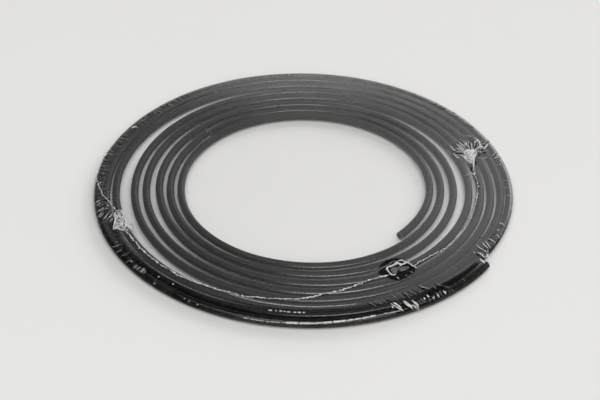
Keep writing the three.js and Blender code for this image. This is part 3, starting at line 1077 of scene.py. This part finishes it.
# Painted lines between two turns: the pale ones painted highlights, the dark ones, of low cover, painted
# shade in the gaps. The directions that they run between, their width, their cover, and each gap's shade
# from the inside of the coil outwards.
PAINTED_GAP_LINES = (
    ((256, 306), 1.6, 0.9, (0.58, 0.66, 0.7, 0.78, 0.66, None, 0.5)),
    ((68, 122), 2.0, 0.8, (0.6, 0.6, 0.62, 0.6, 0.62, 0.62, 0.55)),
    ((22, 78), 3.4, 0.22, (0.0, 0.0, None, 0.0, 0.0, 0.0, 0.0)),
    ((112, 150), 3.2, 0.18, (0.0, 0.0, 0.0, 0.0, None, 0.0, 0.0)),
    ((206, 274), 3.4, 0.24, (0.0, 0.0, 0.0, 0.0, None, None, None)),
)
GAP_HEIGHT = 0.1
# A painted highlight along the crest of the seventh turn, by its directions.
CREST_GLINT = (214, 262)
# A painted highlight between the fifth and the sixth turn, which runs further round the front.
SIXTH_HIGHLIGHT = (
    (222, 289.8), (228, 292.6), (234.4, 295.4), (245.6, 298.6), (256.7, 301.2), (268, 303.2),
    (284.5, 305.2), (300, 306.5), (316, 306.8), (334.5, 306), (350, 304.8), (362, 302.6),
)
# The dark inner half of the band beside the outer cut end.
BAND_SHADE = ((424, 294.5), (437.5, 289), (451, 282.3), (468, 270.8), (479.8, 261.2))


def coil_line(span, turn, on):
    """The plan line midway between a turn and the one `on` turns outwards, between two directions."""
    angles = np.arange(*span, 0.25) + 360 * turn
    radii = (radius_at(angles) + radius_at(angles + 360 * on)) / 2
    return np.array([polar(a, r)[:2] for a, r in zip(angles, radii)])


def film_folds():
    folds = Folds(3)
    for span, width, cover, shades in PAINTED_GAP_LINES:
        for turn, shade in enumerate(shades):
            if shade is not None:
                line = coil_line(span, turn, 1)
                folds.ridge(line, width, GAP_HEIGHT, shade, cover, blunt=True, fade=0.45)
    folds.ridge(coil_line(CREST_GLINT, 6, 0), 1.8, GAP_HEIGHT, 0.42, 0.7, blunt=True, fade=0.4)
    folds.ridge(plan_line(SIXTH_HIGHLIGHT), 1.8, GAP_HEIGHT, 0.66, 0.9, blunt=True, fade=0.1)
    folds.ridge(plan_line(BAND_SHADE), 5.0, GAP_HEIGHT, 0.0, 0.85, blunt=True, fade=0.12)
    for fold_set in SINGLE_FOLDS:
        folds.strokes(*fold_set)
    folds.dots(GLINTS, 1.5, 1.0)
    for glint in EDGE_GLINTS:
        folds.dashes(*glint)
    for row in SHORT_PLEATS:
        folds.ticks(*row)
    folds.finish("film_folds", "film_bag")


film_folds()

# ---- The weld ----

SEAM_LEFT = (
    (95.6, 179), (98, 184), (100, 189), (102.6, 194.4), (106, 198.6), (110, 203), (113.4, 207.6),
    (116.4, 211.4),
)
SEAM_FRONT = (
    (124.4, 230.6), (128, 233.6), (131, 237.6), (136, 243), (139.4, 247.4), (143, 250.4), (150, 256.8),
    (158, 263), (165, 267.6), (171, 270.6), (177, 274.6), (184, 277.4), (190, 280), (196, 282.4),
    (204, 285), (212, 287.8), (222, 291), (232, 293), (240, 295.6), (250, 296.8), (263, 298),
    (278, 298.8), (292, 299.2), (306, 298.2), (318, 295.6), (330, 292.6), (342, 290.4), (354, 286),
    (366, 281.6), (377, 277.8), (385, 276), (388.6, 275.6),
)
SEAM_RIGHT = (
    (412, 266.6), (415, 265.4), (419, 262.4), (424, 259.6), (432, 255.4), (440, 251.4), (447, 247.4),
    (452, 243), (457, 237), (461.4, 232), (466, 226), (469.6, 219.6), (473, 212), (475.6, 203),
    (477.4, 194), (477.8, 186), (476.6, 179.6), (474.4, 175.4),
)
SEAM_STEP = 0.4
SEAM_SIDES = 8


def weld(side, pixels, size, light, seed):
    """A bead of melted film that wanders, swells and thins, its white mottled with painted glints, beside
    a dark ribbon of painted shade.
    """
    node = "film_seam_" + side
    line = plan_line(pixels, SEAM_STEP)
    last = len(line) - 1
    route, sections, shades = [], [], []
    for i, (x, y) in enumerate(line):
        s = i * SEAM_STEP
        along = heading(line, i)
        wander = 0.9 * waver(s * 0.45, seed, 0) + 0.7 * waver(s * 1.1, seed, 4)
        x, y = np.array([x, y]) + np.array([along[1], -along[0]]) * wander
        swell = waver(s * 0.6, seed, 7) + 0.6 * waver(s * 1.5, seed, 3)
        end = 1.0 if 0 < i < last else 0.3
        width = end * size * max(0.26, 0.54 + 0.7 * swell)
        height = end * max(0.2, 0.4 + 0.5 * swell)
        route.append(film_place(x, y, 0.2))
        sections.append(circle(SEAM_SIDES) * (width, height))
        # the bead's tone along it, mottled with painted glints
        glow = light[0] + (light[1] - light[0]) * i / last
        shades += [glow * (0.85 + 0.9 * waver(s * 0.7, seed, 21))] * SEAM_SIDES
    points, faces = closed_tube(route, sections)
    crumpled_piece("weld_" + side, node, points, faces, np.clip(shades, 0.3, 1), [0.97] * len(points))
    # a dark ribbon of painted shade along the bead
    shade_ribbon = Folds(int(seed))
    shade_ribbon.ridge(plan_line(pixels, 1.0), 3.0, 0.1, 0.0, 0.6, 0.3, blunt=True)
    shade_ribbon.finish("weld_shade_" + side, node)


# Each stretch's size, its light at its two ends, and its seed.
weld("left", SEAM_LEFT, 0.9, (0.9, 0.9), 3.1)
weld("front", SEAM_FRONT, 0.9, (1.0, 1.3), 5.7)
weld("right", SEAM_RIGHT, 0.72, (1.3, 1.0), 9.2)

# ---- The vent's lip, and the painted shade under it ----

LIP_SIDES = 10
LIP_STEP = 0.4
# Each part of the lip: its pixels, radius, rise, brightness and cover.
LIP_PARTS = (
    (VENT_LIP, 0.8, 0.5, 1.15, 0.99),
    (VENT_LUMP, 1.0, 0.5, 1.15, 0.99),
    (VENT_STRAND, 0.6, 0.4, 1.1, 0.99),
    (VENT_TEAR, 0.4, 0.1, 0.6, 0.85),
    (VENT_RIM, 0.35, 0.0, 0.4, 0.7),
    *((shred, 0.5, 0.0, 0.9 - 0.25 * i, 0.9) for i, shred in enumerate(VENT_SHREDS)),
)
FLAP_SHARES = (1.0, 0.8, 0.6, 0.4, 0.2)
DISH_SHARES = (1.03, 0.75, 0.5, 0.25)


def lumpy_tube(line, radius, rise, seed):
    """A melted, lumpy lip of film along a plan line: its mesh and the shade at each point."""
    corners = circle(LIP_SIDES)
    route, sections, shades = [], [], []
    for i, (x, y) in enumerate(line):
        s, u = i * LIP_STEP, i / (len(line) - 1)
        swell = max(0.25, math.sin(math.pi * min(1, max(0, u * 0.92 + 0.04)))) ** 0.4
        swell *= 1 + 0.9 * waver(s * 0.8, seed, 2)
        x += 0.5 * waver(s * 0.9, seed, 31)
        y += 0.6 * waver(s * 0.9, seed, 37)
        route.append(film_place(x, y, rise + radius * 0.5))
        lumps = [1 + 0.6 * waver(s * 1.9, a * 1.5, seed + b * 1.5) for a, b in corners]
        sections.append(corners * (radius * swell) * np.array(lumps)[:, None])
        shades += [min(1.0, max(0.3, 0.85 + 0.5 * waver(s * 1.1, seed, 17)))] * LIP_SIDES
    return *closed_tube(route, sections), shades


def vent_lip():
    """The shrunken lip that curls up in the vent, the torn edge behind it, its shreds and its flap."""
    points, faces, shades, covers = [], [], [], []
    for seed, (pixels, radius, rise, bright, cover) in enumerate(LIP_PARTS, 1):
        rings, quads, light = lumpy_tube(plan_line(pixels, LIP_STEP), radius, rise, seed)
        faces += [[i + len(points) for i in f] for f in quads]
        points += list(rings)
        shades += [min(1.0, bright * v) for v in light]
        covers += [cover] * len(rings)
    flap = plan_outline(VENT_FLAP, 0.8)
    faces += dish_faces(len(FLAP_SHARES), len(flap), len(points))
    for _, x, y in shrinking_rings(flap, FLAP_SHARES):
        points.append(film_place(x, y, 0.1 + 0.5 * waver(x * 0.5, y * 0.5, 3)))
        shades.append(0.3 + 0.45 * waver(x * 0.7, y * 0.7, 8))
        covers.append(0.9)
    points.append(film_place(*flap.mean(0), 0.1))
    crumpled_piece("vent_lip", "vent_hole_rim", points, faces, [*shades, 0.2], [*covers, 0.75])


def vent_shade():
    """Painted shade under the vent: a black sheet of film, drawn in to the hose inside the bag."""
    rings = shrinking_rings(VENT_OUTLINE, DISH_SHARES)
    points = [film_place(x, y, -0.1 - 0.15 * (1 - share)) for share, x, y in rings]
    points.append(film_place(*VENT_OUTLINE.mean(0), -0.2))
    faces = dish_faces(len(DISH_SHARES), len(VENT_OUTLINE))
    count = len(points)
    crumpled_piece("vent_shade", "vent_hole_rim", points, faces, [0.0] * count, [0.97] * count)


vent_lip()
vent_shade()

# ---- The bag's two gathered corners: a whitened patch, and the folds that run through it ----

LEFT_GATHER = {
    "patch": (
        (113, 229.8), (113.6, 222), (114.4, 214), (117, 210.4), (121, 210), (124.6, 215), (128.6, 221),
        (133, 224.6), (134.4, 230), (129, 232.4), (120, 230.6),
    ),
    "bright": (
        ((113, 229.8), (114.2, 224.6), (115.4, 219), (114.6, 214.8), (116.4, 211)),
        ((113, 229.8), (116.6, 228.4), (120.4, 229.6), (124, 230.6)),
        ((116.4, 211), (120, 210.6), (122.6, 213.4), (123.8, 217)),
        ((124, 217.4), (125.6, 221.4), (126.4, 224.6), (124.4, 228.4), (123, 230.4)),
        ((117.6, 217), (121.4, 217.6), (123.6, 216.4)),
        ((116.6, 224.4), (119.4, 226.6), (122.6, 223), (124.6, 222)), ((113.6, 215.4), (117, 216.6)),
    ),
    "pale": (
        ((117, 213), (119.6, 215.4)), ((127, 221.4), (131.4, 224), (134, 229)),
        ((128, 226), (131, 230.4)), ((118.6, 219.6), (121, 222.6)), ((126, 231), (131, 236)),
    ),
    "dark": (
        ((120, 219.4), (123.4, 219.6)), ((126.4, 226.4), (128.6, 230)),
        ((112.8, 230.8), (116.6, 232.8), (121, 235)), ((114.4, 216.6), (113.2, 222.6), (111.8, 228.6)),
        ((119, 212.8), (121.4, 214.8)), ((117.4, 221.6), (118.4, 223.6)), ((120.6, 226.4), (122, 227.6)),
    ),
}
RIGHT_GATHER = {
    "patch": (
        (473.8, 165), (469.4, 163), (464, 159), (461.6, 155.4), (464.6, 149), (469, 148.2), (474, 148.6),
        (478, 150), (477.4, 154.6), (475.2, 160),
    ),
    "bright": (
        ((473.4, 171), (473.5, 167.4), (473.5, 162.9), (474.4, 156.3)),
        ((473, 162.9), (470.4, 162.9), (466.8, 160.7), (463.2, 157.1), (460.5, 154.9)),
        ((460, 157.6), (457.9, 158), (455.6, 156.3), (452.5, 153.1)),
        ((458.8, 141.5), (462.3, 145.1), (465.9, 149.1)), ((456.5, 144.2), (461, 149.6), (465, 154)),
        ((450.3, 145.5), (453.4, 150), (458.8, 152.2)),
        ((466.6, 150), (470, 152), (474, 151), (477, 149.4)), ((467, 153), (470, 157), (474, 155.6)),
        ((466.8, 142), (466.3, 145.1), (468.6, 147.3)),
        ((474.4, 137.9), (477.9, 140.6), (480.2, 145.1), (481, 148.2)), ((475.7, 148.7), (478.8, 147.3)),
        ((473.6, 145.6), (475.4, 142.4), (478, 141.4), (480, 144.6), (478.6, 148), (475, 149.6)),
        ((480, 150), (481.6, 147.4), (484.6, 147.4)), ((484, 150), (486, 146.4), (489, 143.6)),
        ((479.6, 151), (481.4, 153.4)), ((474.6, 175), (474.8, 171.4)),
        ((474.6, 174.4), (471.6, 174), (468.6, 173.6)),
    ),
    "pale": (
        ((471, 159), (464, 154), (457, 149.6), (450, 145.6)), ((466, 151), (461, 145.6), (457.4, 141)),
        ((467, 148), (463, 142.6), (459.6, 138.6)), ((468, 146), (470, 140)),
        ((474.6, 171), (473.2, 167), (473.6, 162)), ((468.6, 173.8), (464.6, 176.4)),
        ((462, 159.6), (468, 163.6), (472, 164)), ((483, 145), (486, 142), (489.6, 141)),
        ((477.6, 158), (482, 159.4), (487, 157)), ((446, 149), (451, 155.4)),
        ((462, 136), (468, 136.4), (474, 137.4)),
    ),
    "dark": (
        ((447.1, 150.9), (450.3, 153.8)), ((460, 140.4), (463.2, 144.2), (465, 146.2)),
        ((451.2, 144.2), (454.7, 147.3), (459.2, 150.5)), ((461.4, 152.9), (463.4, 154.6)),
        ((464, 138.4), (466, 139.6)), ((475, 146.4), (477.4, 146)), ((467.6, 154.4), (470, 155.4)),
        ((477.6, 150.6), (479.4, 157)), ((481.4, 141.6), (483.6, 142.4)), ((487, 142), (489, 143.4)),
        ((482.6, 145.4), (485, 146)), ((483, 154.6), (486, 152.6)), ((475.4, 160), (476, 166)),
        ((471.4, 166), (471.6, 172)), ((453, 147.4), (458, 151.6)), ((473.6, 177), (475, 178)),
    ),
}
# The right gather's fans of pleats: the core's pixel, the angles between which they spread, their near
# size, their far size at three angles, how many there are, their width and their shades by turns.
# Their dark shades are painted shade between the pleats.
RIGHT_FANS = (
    ((472, 156), 178, 95, 6, (21, 22, 17), 24, 1.8, (0.85, 0.0)),
    ((473, 155), 95, 5, 5, (16, 19, 15), 18, 1.7, (0.85, 0.0, 0.5)),
)
GATHER_RINGS = 14


def gather(side, place, light, cover, fans, seed):
    """A corner of the bag: lumpy whitened film that fades into the flat film, under sharp folds, the
    bright ones whitened with painted glints and the dark ones painted shade.
    """
    folds = Folds(seed)
    outline = plan_outline(place["patch"], 1.2)
    shares = [1 - r / GATHER_RINGS for r in range(GATHER_RINGS + 1)]
    for share, x, y in shrinking_rings(outline, shares):
        lump = 1 - 2.4 * abs(waver(x * 0.35, y * 0.35, seed))
        small = 1 - 2.4 * abs(waver(x * 0.8, y * 0.8, seed + 5))
        relief = max(0.0, lump) + 0.5 * max(0.0, small)
        fade = float(smooth((1 - share) * 3.5))
        folds.points.append(film_place(x, y, 0.05 + 0.7 * fade * relief))
        folds.shades.append(min(1.0, light * (0.5 + relief)))
        folds.covers.append(fade * cover * min(1.0, 0.4 + 0.6 * relief))
    folds.faces += ring_faces(len(shares), len(outline), flip=True)
    for fan in fans:
        folds.fan(*fan)
    folds.strokes(place["dark"], 2.1, 0.4, 0.0, 0.97)
    folds.strokes(place["pale"], 1.6, 0.9, 0.68, 0.9)
    folds.strokes(place["bright"], 2.0, 1.2, 1.0, 0.99)
    folds.finish("gather_" + side, side + "_corner_gather")


gather("left", LEFT_GATHER, 0.7, 0.72, (), 31)
gather("right", RIGHT_GATHER, 0.95, 0.92, RIGHT_FANS, 47)

# ---- The stage: a pale floor, soft light from above and in front, and pale walls in the world ----

FLOOR_HALF = 6000
FLOOR_DARK = (0.86, 0.853, 0.84)
FLOOR_PALE = (0.87, 0.863, 0.85)
BACKDROP = (0.81, 0.8, 0.79, 1)
BRIGHT_WALL = 50  # the direction of the brightest wall
FRONT_WALL = 270
FRONT_LIGHT = 0.3
# How bright the walls are: from below to above, and from the far side to the brightest wall.
WALL_HEIGHTS = (
    (0.0, 0.7), (0.3, 0.8), (0.45, 1.15), (0.53, 0.95), (0.555, 0.42), (0.6, 0.36), (0.668, 0.36),
    (0.685, 0.19), (0.705, 0.03),
)
WALL_SHARES = (
    (0.0, 0.13), (0.4, 0.1), (0.67, 0.3), (0.83, 0.8), (0.883, 1.08), (0.906, 1.25), (0.926, 2.1),
    (1.0, 2.2),
)


def make_floor():
    material, n = new_material("floor_paper")
    paper = n.ramp(n.noise(n.place(), 3, 2), ((0.3, FLOOR_DARK), (0.7, FLOOR_PALE)))
    sockets = {"Base Color": paper, "Roughness": 0.9, "Specular IOR Level": 0.1}
    n.show(n.add("ShaderNodeBsdfPrincipled", sockets))
    corners = [(x * FLOOR_HALF, y * FLOOR_HALF, 0) for x, y in ((-1, -1), (1, -1), (1, 1), (-1, 1))]
    make_piece("floor", corners, [(0, 1, 2, 3)], material)


def toward(direction, elevation=0):
    """The unit vector in a direction, at an elevation in degrees."""
    a, e = math.radians(direction), math.radians(elevation)
    return Vector((math.cos(a) * math.cos(e), math.sin(a) * math.cos(e), math.sin(e)))


def area_light(name, direction, elevation, distance, width, height, radiance, mirrored=True):
    """A soft box facing the coil. Its power gives it that radiance."""
    data = bpy.data.lights.new(name, "AREA")
    data.shape = "RECTANGLE"
    data.size, data.size_y = width, height
    data.energy = radiance * math.pi * width * height
    light = add_object(name, data)
    place = toward(direction, elevation) * distance
    light.location = place
    light.visible_glossy = mirrored
    light.rotation_mode = "QUATERNION"
    light.rotation_quaternion = (-place).to_track_quat("-Z", "Y")


def make_world():
    """Pale walls round a dark ceiling: brightest low down at the back and the right."""
    world = bpy.data.worlds.new("world")
    bpy.context.scene.world = world
    world.use_nodes = True
    n = Nodes(world.node_tree)
    away = n.add("ShaderNodeTexCoord").outputs["Generated"]
    level = n.vectors("MULTIPLY", away, (1, 1, 0))["Vector"]
    bearing = n.vectors("NORMALIZE", level)["Vector"]
    up = n.add("ShaderNodeSeparateXYZ", {0: away}).outputs["Z"]

    def facing(direction):
        """How nearly a ray's bearing is a direction: 1 where it is, -1 where it's opposite."""
        return n.vectors("DOT_PRODUCT", bearing, toward(direction))["Value"]

    share = n.ramp(n.range(facing(BRIGHT_WALL), -1, 1, 0, 1), WALL_SHARES)
    walls = n.times(n.ramp(up, WALL_HEIGHTS), share)
    ahead = n.times(n.range(facing(FRONT_WALL), 0.64, 0.87, 0, 1), FRONT_LIGHT)
    front = n.times(ahead, n.range(up, 0.92, 0.8, 0, 1))
    lit = n.maths("ADD", walls, front)
    seen = n.add("ShaderNodeLightPath").outputs["Is Camera Ray"]
    colour = n.add("ShaderNodeMix", {"Factor": seen, "A": lit, "B": BACKDROP}, data_type="RGBA")
    background = n.add("ShaderNodeBackground", {"Color": colour.outputs["Result"]})
    n.show(background, "ShaderNodeOutputWorld")


make_floor()
make_world()
area_light("softbox", 276, 38, 5.0, 6.4, 3.6, 1.05)
area_light("ceiling", 270, 77, 5.0, 7.0, 4.0, 1.65)
area_light("window", 60, 18, 5.0, 4.0, 1.6, 3.8, mirrored=False)

bpy.context.scene.view_settings.view_transform = "Standard"
